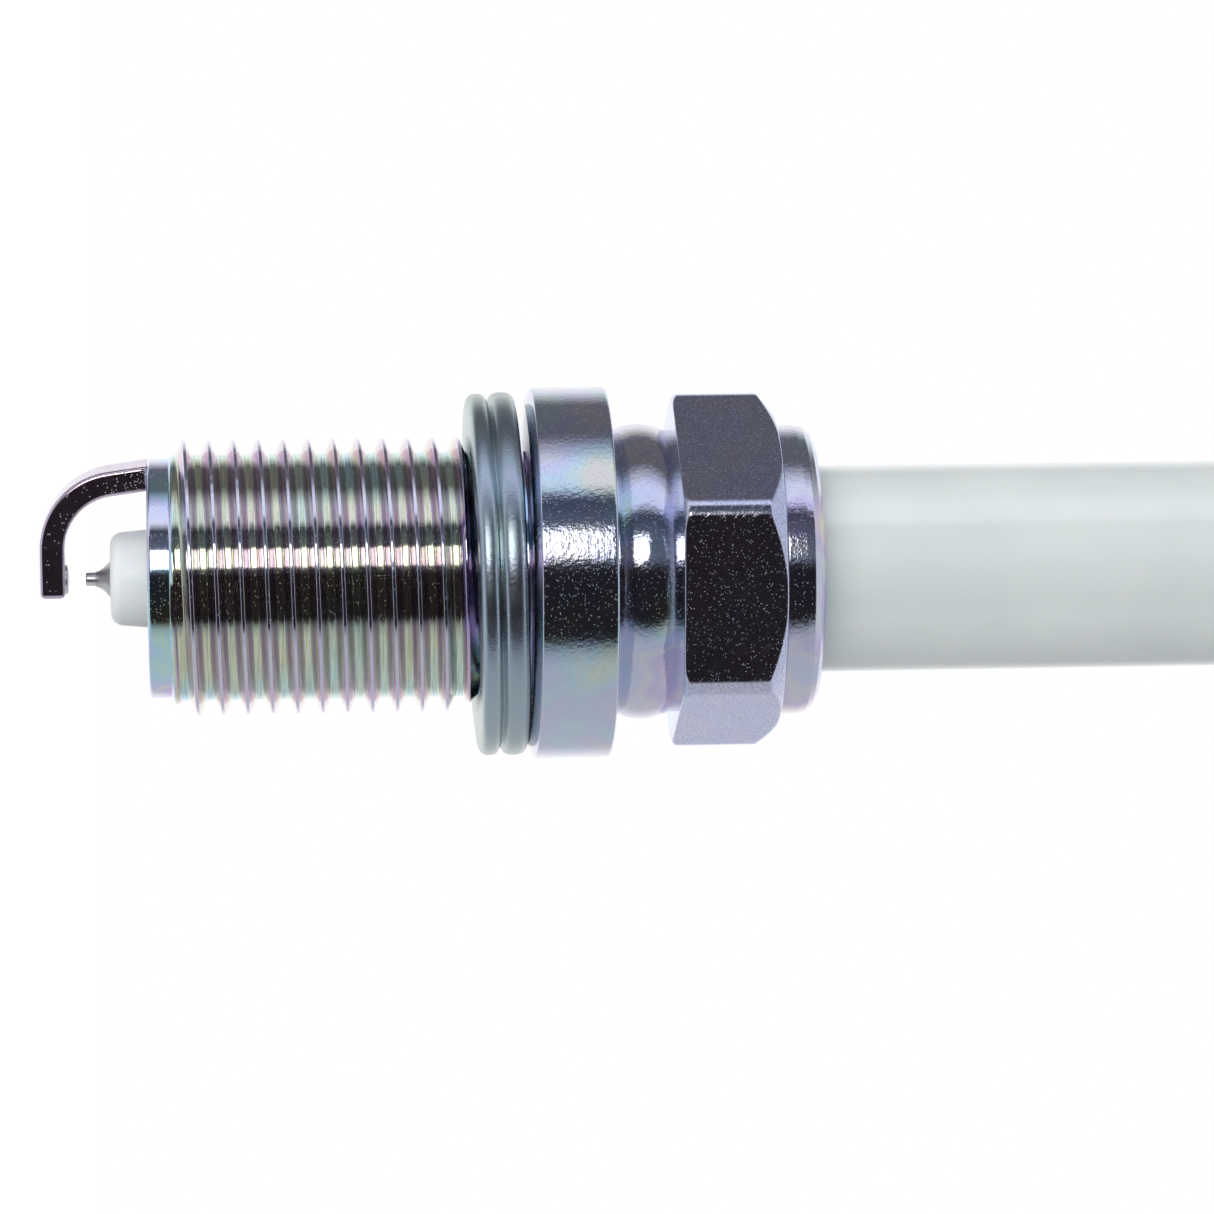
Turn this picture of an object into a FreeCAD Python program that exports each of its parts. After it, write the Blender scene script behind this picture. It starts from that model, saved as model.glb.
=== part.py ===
import FreeCAD, Part
import math, os

# A spark plug with an M14 x 1.25 thread, a 19 mm reach and a 16 mm hexagon.
# +Z runs along the plug's axis, from the firing end up to the terminal.
# The origin is on the axis, in the plane of the collar's face that the gasket bears on.
# The ground electrode is welded to the shell on the -X side. Everything is in millimetres.

# Shell, from the firing end up
reach = 19.0                    # seat plane down to the shell's end face
pilot_length = 1.1              # plain lead-in at the end of the thread
pilot_under_root = 0.15         # the lead-in is this much smaller in radius than the thread's root
pilot_chamfer = 0.18
thread_d = 13.9                 # outside diameter of the M14 thread
thread_pitch = 1.25
thread_depth_share = 0.6        # depth of a thread as a share of its pitch
thread_crest_share = 0.136      # flat on a thread's crest as a share of its pitch
thread_phase_z = -3.373         # height of one turn's groove on the +X side
thread_run_in = 0.6             # length of the chamfer where the thread starts
thread_overshoot = 0.05         # how far a thread's cutter reaches past the crests
neck_margin = 0.05              # the neck under the seat is this much longer than the gasket
neck_under_root = 0.05          # the neck is this much smaller in radius than the thread's root
seat_chamfer = 0.38
seat_chamfer_width = 0.7
collar_step = 2.45              # collar's edge stands out this far from the thread's crests
collar_height = 4.15
collar_edge = 0.12
barrel_height = 3.3             # thin wall between collar and hexagon, crowned by its hot crimp
barrel_wall = 1.0               # least thickness of that wall
barrel_crown = 0.35
barrel_neck_height = 0.4
hex_step = 0.85                 # the flats stand out this far from the wall: 16 mm across flats
hex_corner_trim = 0.19          # turned off each corner of the hexagon
hex_height = 5.2
hex_top_chamfer = 0.9
hex_bottom_chamfer = 0.22
chamfer_rise_deg = 40.0         # slope of the hexagon's turned chamfers
lip_side_wall = 1.2
lip_upright = 0.3               # straight stretch of the lip below its bend
lip_radius = 1.7                # outside bend of the lip that is rolled over the insulator
lip_wall = 0.85
lip_inner_bend = 0.3

# Ceramic insulator
head_d = 10.5                   # glazed head, where the boot grips
glaze = 0.05                    # thickness that the glaze adds to the bare ceramic
glaze_start = 0.1               # the glaze has its full thickness this far above the shell's lip
shoulder_step = 0.75            # thickest part, held inside the hexagon, over the bare head
shoulder_base_z = 5.2
body_d = 9.3                    # the length inside the threaded part of the shell
nose_gap = 0.7                  # room between the nose's root and the shell's narrowest bore
nose_tip_d = 4.6
nose_projection = 1.9           # how far the nose stands out of the shell
nose_edge = 0.62
insulator_top_z = 41.8
head_top_edge = 0.9
rib_count = 4
rib_pitch = 1.45
rib_depth = 0.4
rib_groove_r = 0.55
rib_margin = 1.5                # insulator top down to the centre of the first groove
rod_bore_d = 2.0                # narrow bore that guides the centre electrode
core_bore_d = 4.0               # wide bore for seals, resistor and stud
core_bore_base_z = -5.0

# Where insulator and shell meet inside
seat_cone_z = -8.0              # top of the shell's inner conical seat
seat_cone_deg = 30.0
seat_width = 0.85               # the narrowest bore is this much smaller in radius than the body's
ledge_height = 1.6
firing_bore_step = 0.55         # the bore widens by this much towards the firing end
body_clearance = 0.2
shoulder_clearance = 0.2
head_clearance = 0.1
washer_thickness = 0.3
packing_height = 2.45           # two wire rings with talc between them
ring_gap = 0.075                # room inside and outside each wire ring
ring_clearance = 0.03

# Centre electrode
rod_clearance = 0.05
electrode_head_inset = 0.2      # seal between the electrode's head and the bore's wall
electrode_head_rim = 0.2        # straight side of the head above its cone
electrode_boss_d = 2.2
electrode_boss_height = 0.8
copper_core_d = 1.0
copper_core_end_cover = 1.6     # nickel left between the copper and the nose face
taper_length = 0.75
tip_rim = 0.03                  # nickel left around the fine tip
tip_d = 0.7
tip_projection = 0.5            # fine tip beyond the taper
tip_depth = 0.35                # how deep the tip sits in the taper
spark_gap = 0.8

# Ground electrode, a flat bar bent over the tip
strap_width = 2.65
strap_thickness = 1.25
strap_root_inset = 0.13         # outer face at the weld, in from the lead-in's side
strap_lean_deg = 8.0
strap_bend_r = 2.75             # inside radius of the bend
strap_end_margin = 0.03         # bar left beyond the pad
strap_edge = 0.16
pad_d = 1.5
pad_height = 0.2
pad_depth = 0.12
pad_edge = 0.12

# Resistor stack, stud and nut
lower_seal_height = 4.5
resistor_height = 11.0
upper_seal_height = 5.5
stud_depth_in_seal = 3.0
stud_tip_inset = 0.6            # seal around the stud's tip
stud_shank_clearance = 0.15
stud_shoulder_overlap = 0.7     # the stud's shoulder covers the bore's edge by this much
stud_shoulder_height = 0.6
stud_thread_d = 3.95            # M4, which the terminal nut screws on
stud_thread_pitch = 0.7
stud_thread_length = 6.4
stud_thread_chamfer = 0.5
nut_bore_clearance = 0.05
nut_seat_clearance = 0.02
nut_d = 6.35
nut_bore_margin = 0.6           # empty bore above the stud's end
nut_cap = 1.1                   # solid metal above the bore
nut_base_height = 2.0
nut_waist_d = 5.1
nut_waist_height = 1.2
nut_waist_slope = 0.6
nut_top_d = 4.4
nut_top_chamfer = 0.9

# Gasket, a steel tube folded flat and hung loose on the neck
gasket_inset = 0.2              # the ring's rim is this far inside the collar's edge
gasket_grip = 0.2               # the ring's bore is this far inside the thread's crests
gasket_thickness = 2.45
gasket_sheet = 0.38
gasket_edge = 0.6               # rounding of the folded outside
gasket_inner_edge = 0.45
gasket_seam_shift = -0.12       # the fold's seam lies a little below the middle
gasket_seam_depth = 0.3
gasket_slit = 0.06
gasket_lean_deg = 1.4
gasket_seat_gap = 0.03

# Radii that follow from those sizes
thread_r = thread_d / 2
thread_root_r = thread_r - thread_depth_share * thread_pitch
pilot_r = thread_root_r - pilot_under_root
neck_r = thread_root_r - neck_under_root
collar_r = thread_r + collar_step
seat_face_r = collar_r - seat_chamfer_width
head_r = head_d / 2
bare_head_r = head_r - glaze
shoulder_r = bare_head_r + shoulder_step
body_r = body_d / 2
body_bore_r = body_r + body_clearance
ledge_r = body_bore_r - seat_width
firing_bore_r = ledge_r + firing_bore_step
nose_root_r = ledge_r - nose_gap
cavity_r = shoulder_r + shoulder_clearance
barrel_neck_r = cavity_r + barrel_wall
hex_flat_r = barrel_neck_r + hex_step
hex_corner_r = hex_flat_r / math.cos(math.radians(30))
lip_r = cavity_r + lip_side_wall
lip_bore_r = head_r + head_clearance
ring_wire_r = (cavity_r - bare_head_r) / 2 - ring_gap
rod_bore_r = rod_bore_d / 2
rod_r = rod_bore_r - rod_clearance
core_bore_r = core_bore_d / 2
electrode_head_r = core_bore_r - electrode_head_inset
electrode_boss_r = electrode_boss_d / 2
tip_r = tip_d / 2
taper_r = tip_r + tip_rim
pad_r = pad_d / 2
strap_root_r = pilot_r - strap_root_inset
strap_overhang = pad_r + strap_end_margin
stud_tip_r = core_bore_r - stud_tip_inset
stud_shank_r = core_bore_r - stud_shank_clearance
stud_shoulder_r = core_bore_r + stud_shoulder_overlap
stud_thread_r = stud_thread_d / 2
nut_bore_r = stud_thread_r + nut_bore_clearance

# Heights that follow from them, from the firing end up
neck_length = gasket_thickness + neck_margin
shell_end_z = -reach
hex_base_z = collar_height + barrel_height
hex_top_z = hex_base_z + hex_height
lip_top_z = hex_top_z + lip_upright + lip_radius
lip_underside_z = lip_top_z - lip_wall
lower_ring_z = lip_underside_z - packing_height
upper_ring_z = lip_underside_z - ring_clearance - 2 * ring_wire_r
shoulder_top_z = lower_ring_z - shoulder_step
nose_face_z = shell_end_z - nose_projection
taper_end_z = nose_face_z - taper_length
tip_end_z = taper_end_z - tip_projection
strap_inner_z = tip_end_z - spark_gap - pad_height
strap_outer_z = strap_inner_z - strap_thickness
bore_step = core_bore_r - rod_bore_r
head_base_z = core_bore_base_z
head_top_z = head_base_z + bore_step + electrode_head_rim
lower_seal_top_z = head_top_z + lower_seal_height
resistor_top_z = lower_seal_top_z + resistor_height
upper_seal_top_z = resistor_top_z + upper_seal_height
stud_tip_z = upper_seal_top_z - stud_depth_in_seal
stud_shoulder_z = insulator_top_z + stud_shoulder_height
stud_top_z = stud_shoulder_z + stud_thread_length
nut_base_z = stud_shoulder_z + nut_seat_clearance
nut_bore_top_z = stud_top_z + nut_bore_margin
nut_top_z = nut_bore_top_z + nut_cap


def point(r, z):
    return FreeCAD.Vector(r, 0, z)


def outline_face(steps):
    """Flat face in the XZ plane. A step is a corner (x, z), or (via, end) for an arc through via."""
    edges = []
    start = here = point(*steps[0])
    for step in steps[1:]:
        if isinstance(step[0], tuple):
            end = point(*step[1])
            edges.append(Part.Arc(here, point(*step[0]), end).toShape())
        else:
            end = point(*step)
            edges.append(Part.LineSegment(here, end).toShape())
        here = end
    if (here - start).Length > 1e-6:
        edges.append(Part.LineSegment(here, start).toShape())
    return Part.Face(Part.Wire(edges))


def turned(steps):
    """Solid turned about the plug's axis from an outline of (r, z) steps."""
    return outline_face(steps).revolve(FreeCAD.Vector(), FreeCAD.Vector(0, 0, 1), 360)


def ring(r_in, r_out, z_low, z_high):
    return turned([(r_in, z_low), (r_out, z_low), (r_out, z_high), (r_in, z_high)])


def rod(r, z_low, z_high):
    return Part.makeCylinder(r, z_high - z_low, point(0, z_low))


def on_arc(centre, radius, degrees):
    angle = math.radians(degrees)
    return (centre[0] + radius * math.cos(angle), centre[1] + radius * math.sin(angle))


def with_thread(blank, r_crest, pitch, z_start, z_end):
    """The blank with a right-hand 60 degree thread, its groove cut turn by turn from the +X side."""
    r_root = r_crest - thread_depth_share * pitch
    flank = math.tan(math.radians(30))
    half_root = pitch * (1 - thread_crest_share) / 2 - (r_crest - r_root) * flank
    half_mouth = half_root + (r_crest + thread_overshoot - r_root) * flank
    corners = [
        point(r_root, -half_root),
        point(r_crest + thread_overshoot, -half_mouth),
        point(r_crest + thread_overshoot, half_mouth),
        point(r_root, half_root),
    ]
    section = Part.makePolygon(corners + corners[:1])
    helix = Part.makeHelix(pitch, pitch, r_root)
    one_turn = Part.Wire(helix).makePipeShell([section], True, True)
    for i in range(math.ceil((z_end - z_start) / pitch)):
        turn = one_turn.copy()
        turn.translate(point(0, z_start + i * pitch))
        blank = blank.cut(turn)
    return blank


def hexagon():
    """Wrench hexagon with a corner on the -X side, its corners turned and chamfered."""
    corners = [
        FreeCAD.Vector(*on_arc((0, 0), hex_corner_r, 60 * i), hex_base_z)
        for i in range(7)
    ]
    prism = Part.Face(Part.makePolygon(corners)).extrude(point(0, hex_height))
    turned_r = hex_corner_r - hex_corner_trim
    slope = math.tan(math.radians(chamfer_rise_deg))
    envelope = turned([
        (0, hex_base_z),
        (turned_r - hex_bottom_chamfer / slope, hex_base_z),
        (turned_r, hex_base_z + hex_bottom_chamfer),
        (turned_r, hex_top_z - hex_top_chamfer),
        (turned_r - hex_top_chamfer / slope, hex_top_z),
        (0, hex_top_z),
    ])
    return prism.common(envelope)


def shell_outside():
    """Outside of the shell without its thread's groove and its hexagon's flats."""
    barrel_low_z = collar_height + barrel_neck_height
    barrel_high_z = hex_base_z - barrel_neck_height
    barrel_crest = (barrel_neck_r + barrel_crown, (barrel_low_z + barrel_high_z) / 2)
    lip_centre = (lip_r - lip_radius, lip_top_z - lip_radius)
    return turned([
        (0, shell_end_z),
        (pilot_r - pilot_chamfer, shell_end_z),
        (pilot_r, shell_end_z + pilot_chamfer),
        (pilot_r, shell_end_z + pilot_length),
        (thread_r, shell_end_z + pilot_length + thread_run_in),
        (thread_r, -neck_length - (thread_r - neck_r)),
        (neck_r, -neck_length),
        (neck_r, 0),
        (seat_face_r, 0),
        (collar_r, seat_chamfer),
        (collar_r, collar_height - collar_edge),
        (collar_r - collar_edge, collar_height),
        (barrel_neck_r, collar_height),
        (barrel_neck_r, barrel_low_z),
        (barrel_crest, (barrel_neck_r, barrel_high_z)),
        (barrel_neck_r, hex_base_z),
        (barrel_neck_r, hex_top_z),
        (lip_r, hex_top_z),
        (lip_r, lip_centre[1]),
        (on_arc(lip_centre, lip_radius, 45), (lip_centre[0], lip_top_z)),
        (0, lip_top_z),
    ])


def seat_z(r):
    """Height of the shell's inner conical seat at radius r."""
    return seat_cone_z - (body_bore_r - r) * math.tan(math.radians(seat_cone_deg))


def shell_bore():
    """Stepped bore: firing end, ledge with the conical seat, body bore, cavity and lip."""
    ledge_z = seat_z(ledge_r)
    under_ledge_z = ledge_z - ledge_height
    step_z = shoulder_base_z - (cavity_r - body_bore_r) - shoulder_clearance
    bend_corner = (cavity_r - lip_inner_bend, lip_underside_z - lip_inner_bend)
    return turned([
        (0, shell_end_z),
        (firing_bore_r, shell_end_z),
        (firing_bore_r, under_ledge_z - firing_bore_step),
        (ledge_r, under_ledge_z),
        (ledge_r, ledge_z),
        (body_bore_r, seat_cone_z),
        (body_bore_r, step_z),
        (cavity_r, step_z + cavity_r - body_bore_r),
        (cavity_r, bend_corner[1]),
        (on_arc(bend_corner, lip_inner_bend, 45), (bend_corner[0], lip_underside_z)),
        (lip_bore_r, lip_underside_z),
        (lip_bore_r, lip_top_z),
        (0, lip_top_z),
    ])


def shell():
    turns_below = math.ceil((thread_phase_z - shell_end_z - pilot_length / 2) / thread_pitch)
    threaded = with_thread(
        shell_outside(),
        thread_r,
        thread_pitch,
        thread_phase_z - turns_below * thread_pitch,
        -neck_length + thread_pitch / 2,
    )
    return threaded.fuse(hexagon()).cut(shell_bore()).removeSplitter()


def insulator():
    """Ceramic body: nose, lower shoulder, body, thick shoulder and ribbed head."""
    nose_tip_r = nose_tip_d / 2
    cone_low_z = seat_z(nose_root_r) + washer_thickness
    cone_high_z = seat_z(body_r) + washer_thickness
    edge_centre = (nose_tip_r - nose_edge, nose_face_z + nose_edge)
    top_centre = (head_r - head_top_edge, insulator_top_z - head_top_edge)
    ceramic = turned([
        (rod_bore_r, nose_face_z),
        (nose_tip_r - nose_edge, nose_face_z),
        (on_arc(edge_centre, nose_edge, -45), (nose_tip_r, nose_face_z + nose_edge)),
        (nose_root_r, cone_low_z - ledge_height),
        (nose_root_r, cone_low_z),
        (body_r, cone_high_z),
        (body_r, shoulder_base_z - (shoulder_r - body_r)),
        (shoulder_r, shoulder_base_z),
        (shoulder_r, shoulder_top_z),
        (bare_head_r, lower_ring_z),
        (bare_head_r, lip_underside_z),
        (head_r, lip_top_z + glaze_start),
        (head_r, insulator_top_z - head_top_edge),
        (on_arc(top_centre, head_top_edge, 45), (head_r - head_top_edge, insulator_top_z)),
        (core_bore_r, insulator_top_z),
        (core_bore_r, core_bore_base_z + bore_step),
        (rod_bore_r, core_bore_base_z),
    ])
    groove_r = head_r - rib_depth + rib_groove_r
    for i in range(rib_count):
        groove_z = insulator_top_z - rib_margin - i * rib_pitch
        ceramic = ceramic.cut(Part.makeTorus(groove_r, rib_groove_r, point(0, groove_z)))
    return ceramic


def copper_core():
    return rod(copper_core_d / 2, nose_face_z + copper_core_end_cover, head_base_z)


def centre_electrode():
    """Nickel rod with a headed top that hangs in the bore and a hollow-ground taper at its tip."""
    waist = (taper_r + (rod_r - taper_r) * 0.35, nose_face_z - taper_length / 2)
    metal = turned([
        (0, taper_end_z),
        (taper_r, taper_end_z),
        (waist, (rod_r, nose_face_z)),
        (rod_r, head_base_z),
        (electrode_head_r, head_base_z + electrode_head_r - rod_r),
        (electrode_head_r, head_top_z),
        (electrode_boss_r, head_top_z),
        (electrode_boss_r, head_top_z + electrode_boss_height),
        (0, head_top_z + electrode_boss_height),
    ])
    return metal.cut(copper_core()).cut(centre_tip())


def centre_tip():
    return rod(tip_r, tip_end_z, taper_end_z + tip_depth)


def strap_outline():
    """Side view of the bent bar, from its weld on the shell's end to its end past the axis."""
    lean = math.radians(strap_lean_deg)
    outer_bend = strap_bend_r + strap_thickness
    bend_z = strap_outer_z + outer_bend
    face_offset = strap_root_r * math.cos(lean) - shell_end_z * math.sin(lean)
    bend_x = (face_offset - outer_bend + bend_z * math.sin(lean)) / math.cos(lean)
    centre = (-bend_x, bend_z)
    root_in = strap_root_r - strap_thickness / math.cos(lean)
    start = 180 + strap_lean_deg
    middle = (start + 270) / 2
    return [
        (-strap_root_r, shell_end_z),
        on_arc(centre, outer_bend, start),
        (on_arc(centre, outer_bend, middle), on_arc(centre, outer_bend, 270)),
        (strap_overhang, strap_outer_z),
        (strap_overhang, strap_inner_z),
        on_arc(centre, strap_bend_r, 270),
        (on_arc(centre, strap_bend_r, middle), on_arc(centre, strap_bend_r, start)),
        (-root_in, shell_end_z),
    ]


def ground_electrode():
    side = outline_face(strap_outline())
    bar = side.extrude(FreeCAD.Vector(0, strap_width, 0))
    bar.translate(FreeCAD.Vector(0, -strap_width / 2, 0))
    along = [edge for edge in bar.Edges if not is_end_edge(edge)]
    return bar.makeFillet(strap_edge, along).cut(ground_pad())


def is_end_edge(edge):
    """True on the edges of the weld face and on those that cross the bar."""
    box = edge.BoundBox
    at_weld = box.ZMin > shell_end_z - 1e-6
    return at_weld or (box.YLength > strap_width / 2 and box.XMax < strap_overhang - 1e-6)


def ground_pad():
    low = strap_inner_z - pad_depth
    high = strap_inner_z + pad_height
    return turned([
        (0, low),
        (pad_r, low),
        (pad_r, high - pad_edge),
        (pad_r - pad_edge, high),
        (0, high),
    ])


def lower_seal():
    plug = rod(core_bore_r, core_bore_base_z + bore_step, lower_seal_top_z)
    head = rod(electrode_head_r, head_base_z, head_top_z)
    boss = rod(electrode_boss_r, head_top_z, head_top_z + electrode_boss_height)
    return plug.cut(head).cut(boss)


def resistor():
    return rod(core_bore_r, lower_seal_top_z, resistor_top_z)


def upper_seal():
    plug = rod(core_bore_r, resistor_top_z, upper_seal_top_z)
    return plug.cut(rod(stud_tip_r, stud_tip_z, upper_seal_top_z))


def terminal_stud():
    """Steel rod from the upper seal to the M4 thread above the insulator."""
    screw_root_r = stud_thread_r - thread_depth_share * stud_thread_pitch
    screw_base_z = stud_shoulder_z + stud_thread_pitch
    metal = turned([
        (0, stud_tip_z),
        (stud_tip_r, stud_tip_z),
        (stud_tip_r, upper_seal_top_z),
        (stud_shank_r, upper_seal_top_z),
        (stud_shank_r, insulator_top_z),
        (stud_shoulder_r, insulator_top_z),
        (stud_shoulder_r, stud_shoulder_z),
        (screw_root_r, stud_shoulder_z),
        (screw_root_r, screw_base_z - stud_thread_pitch / 2),
        (stud_thread_r, screw_base_z),
        (stud_thread_r, stud_top_z - stud_thread_chamfer),
        (stud_thread_r - stud_thread_chamfer, stud_top_z),
        (0, stud_top_z),
    ])
    return with_thread(
        metal,
        stud_thread_r,
        stud_thread_pitch,
        screw_base_z,
        stud_top_z + stud_thread_pitch,
    )


def terminal_nut():
    """Screw-on terminal with a waist for the cap's spring and a chamfered top."""
    nut_r = nut_d / 2
    waist_r = nut_waist_d / 2
    waist_low = nut_base_z + nut_base_height + nut_waist_slope
    waist_high = waist_low + nut_waist_height
    return turned([
        (nut_bore_r, nut_base_z),
        (nut_r, nut_base_z),
        (nut_r, nut_base_z + nut_base_height),
        (waist_r, waist_low),
        (waist_r, waist_high),
        (nut_r, waist_high + nut_waist_slope),
        (nut_r, nut_top_z - nut_top_chamfer),
        (nut_top_d / 2, nut_top_z),
        (0, nut_top_z),
        (0, nut_bore_top_z),
        (nut_bore_r, nut_bore_top_z),
    ])


def rounded_section(r_in, r_out, z_low, z_high, inner_edge, outer_edge):
    """Steps of a ring's section with rounded inside and outside corners."""
    low_out = (r_out - outer_edge, z_low + outer_edge)
    high_out = (r_out - outer_edge, z_high - outer_edge)
    low_in = (r_in + inner_edge, z_low + inner_edge)
    high_in = (r_in + inner_edge, z_high - inner_edge)
    return [
        (low_in[0], z_low),
        (low_out[0], z_low),
        (on_arc(low_out, outer_edge, -45), (r_out, low_out[1])),
        (r_out, high_out[1]),
        (on_arc(high_out, outer_edge, 45), (high_out[0], z_high)),
        (high_in[0], z_high),
        (on_arc(high_in, inner_edge, 135), (r_in, high_in[1])),
        (r_in, low_in[1]),
        (on_arc(low_in, inner_edge, 225), (low_in[0], z_low)),
    ]


def gasket():
    """Folded steel ring: a hollow section with one leaf inside, which ends at the outer seam."""
    r_in = thread_r - gasket_grip
    r_out = collar_r - gasket_inset
    low = -gasket_seat_gap - gasket_thickness
    high = -gasket_seat_gap
    seam_z = (low + high) / 2 + gasket_seam_shift
    sheet = gasket_sheet
    outside = turned(rounded_section(r_in, r_out, low, high, gasket_inner_edge, gasket_edge))
    inside = turned(rounded_section(
        r_in + sheet,
        r_out - sheet - gasket_seam_depth,
        low + sheet,
        high - sheet,
        gasket_inner_edge - sheet / 2,
        gasket_edge - sheet / 2,
    ))
    leaf_low = seam_z - sheet / 2
    leaf_high = seam_z + sheet / 2
    leaf = ring(r_in + 3 * sheet, r_out, leaf_low, leaf_high)
    slit = ring(r_out - sheet - 2 * gasket_seam_depth, r_out, leaf_high, leaf_high + gasket_slit)
    seam = turned([
        (r_out - gasket_seam_depth, leaf_high + gasket_slit / 2),
        (r_out + gasket_slit, leaf_high - gasket_seam_depth),
        (r_out + gasket_slit, leaf_high + gasket_seam_depth + gasket_slit),
    ])
    folded = outside.cut(inside.cut(leaf)).cut(slit).cut(seam)
    folded.rotate(point(seat_face_r, -gasket_seat_gap), FreeCAD.Vector(0, 1, 0), -gasket_lean_deg)
    return folded


def packing_washer():
    """Soft conical washer between the insulator's lower shoulder and the shell's seat."""
    r_low = ledge_r + ring_clearance
    r_high = body_r
    return turned([
        (r_low, seat_z(r_low)),
        (r_high, seat_z(r_high)),
        (r_high, seat_z(r_high) + washer_thickness),
        (r_low, seat_z(r_low) + washer_thickness),
    ])


def wire_ring(z_base):
    centre_r = (bare_head_r + cavity_r) / 2
    return Part.makeTorus(centre_r, ring_wire_r, point(0, z_base + ring_wire_r))


def talc_packing():
    """Pressed talc powder that fills the space between the two wire rings."""
    return ring(bare_head_r, cavity_r, lower_ring_z + 2 * ring_wire_r, upper_ring_z)


parts = {
    "shell": shell(),
    "ground_electrode": ground_electrode(),
    "ground_electrode_pad": ground_pad(),
    "insulator": insulator(),
    "centre_electrode": centre_electrode(),
    "centre_electrode_core": copper_core(),
    "centre_electrode_tip": centre_tip(),
    "lower_glass_seal": lower_seal(),
    "resistor": resistor(),
    "upper_glass_seal": upper_seal(),
    "terminal_stud": terminal_stud(),
    "terminal_nut": terminal_nut(),
    "gasket": gasket(),
    "packing_washer": packing_washer(),
    "lower_wire_ring": wire_ring(lower_ring_z),
    "talc_packing": talc_packing(),
    "upper_wire_ring": wire_ring(upper_ring_z),
}

os.makedirs("parts", exist_ok=True)
for name, shape in parts.items():
    shape.exportStep(f"parts/{name}.step")
    box = shape.BoundBox
    print(f"{name:24} {len(shape.Solids)} solid  {shape.Volume:9.2f} mm3  z {box.ZMin:7.2f} {box.ZMax:7.2f}")
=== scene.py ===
import math

import bmesh
import bpy
import numpy as np
from mathutils import Matrix, Vector


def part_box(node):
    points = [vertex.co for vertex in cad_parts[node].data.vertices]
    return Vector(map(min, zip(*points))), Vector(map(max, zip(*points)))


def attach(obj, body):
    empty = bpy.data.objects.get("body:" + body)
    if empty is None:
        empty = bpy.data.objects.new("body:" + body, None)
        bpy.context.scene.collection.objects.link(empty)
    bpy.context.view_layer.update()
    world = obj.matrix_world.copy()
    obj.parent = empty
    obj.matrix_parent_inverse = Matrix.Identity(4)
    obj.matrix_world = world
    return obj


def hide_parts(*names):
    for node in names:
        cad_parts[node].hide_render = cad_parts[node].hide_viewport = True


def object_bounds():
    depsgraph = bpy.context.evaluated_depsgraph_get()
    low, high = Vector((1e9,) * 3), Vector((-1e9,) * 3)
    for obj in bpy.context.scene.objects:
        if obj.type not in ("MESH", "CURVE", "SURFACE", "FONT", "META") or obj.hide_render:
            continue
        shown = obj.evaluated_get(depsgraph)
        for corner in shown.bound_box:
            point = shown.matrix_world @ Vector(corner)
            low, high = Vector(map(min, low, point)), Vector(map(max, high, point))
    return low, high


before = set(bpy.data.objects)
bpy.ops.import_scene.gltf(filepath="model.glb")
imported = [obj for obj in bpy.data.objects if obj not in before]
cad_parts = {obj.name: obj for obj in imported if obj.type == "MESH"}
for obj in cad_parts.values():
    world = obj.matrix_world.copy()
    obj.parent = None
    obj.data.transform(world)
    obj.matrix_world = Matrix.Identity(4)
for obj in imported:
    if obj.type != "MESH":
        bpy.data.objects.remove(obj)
cad_low, cad_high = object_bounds()

# Outlines below are in millimetres, in the frame's axes: +Z along the plug, the weld on the -X side.
MM = 0.001
TAU = 2 * math.pi


def extent(node):
    """Lowest and highest corner of a CAD node, in millimetres."""
    return [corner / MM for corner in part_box(node)]


# Corners read from the frame
shell_low, shell_high = extent("shell")
insulator_low, insulator_high = extent("insulator")
strap_low, strap_high = extent("ground_electrode")
pad_low, pad_high = extent("ground_electrode_pad")
tip_low, tip_high = extent("centre_electrode_tip")
rod_high = extent("centre_electrode")[1]
stud_low, stud_high = extent("terminal_stud")
nut_low, nut_high = extent("terminal_nut")
collar_r = shell_high.x
shoulder_r = insulator_high.x
end_z = shell_low.z
lip_top_z = shell_high.z

# Shell
thread_r = 6.95
thread_root_r = 6.2
thread_pitch = 1.25
thread_phase_z = -3.373         # height of one turn's groove on the +X side
thread_root_width = 0.44
thread_crest_width = 0.16
pilot_r = 6.05
pilot_length = 1.1
thread_run_in = 0.6
thread_gap = 0.04               # from the threaded stretch to the plain outline beside it
neck_r = 6.15
neck_length = 2.5
seat_face_r = 8.7
seat_chamfer = 0.38
collar_height = 4.15
barrel_neck_r = 7.15
barrel_crown = 0.35
barrel_foot = 0.25              # plain neck between the collar and the barrel
barrel_shoulder = 0.3           # and between the barrel and the hexagon
hex_base_z = 7.45
hex_top_z = 12.65
hex_flat_r = 8.0
hex_turned_r = 9.05
hex_top_chamfer = 0.9
hex_bottom_chamfer = 0.22
hex_edge = 0.1
chamfer_slope = math.tan(math.radians(40))
lip_r = 7.35
lip_bend = 1.7
lip_bore_r = 5.35
lip_wall = 0.85
cavity_r = 6.15
body_bore_r = 4.85
ledge_r = 4.0
ledge_height = 1.6
firing_bore_r = 4.55
firing_bore_cone = 0.55
seat_cone_z = -8.0
seat_slope = math.tan(math.radians(30))

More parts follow.
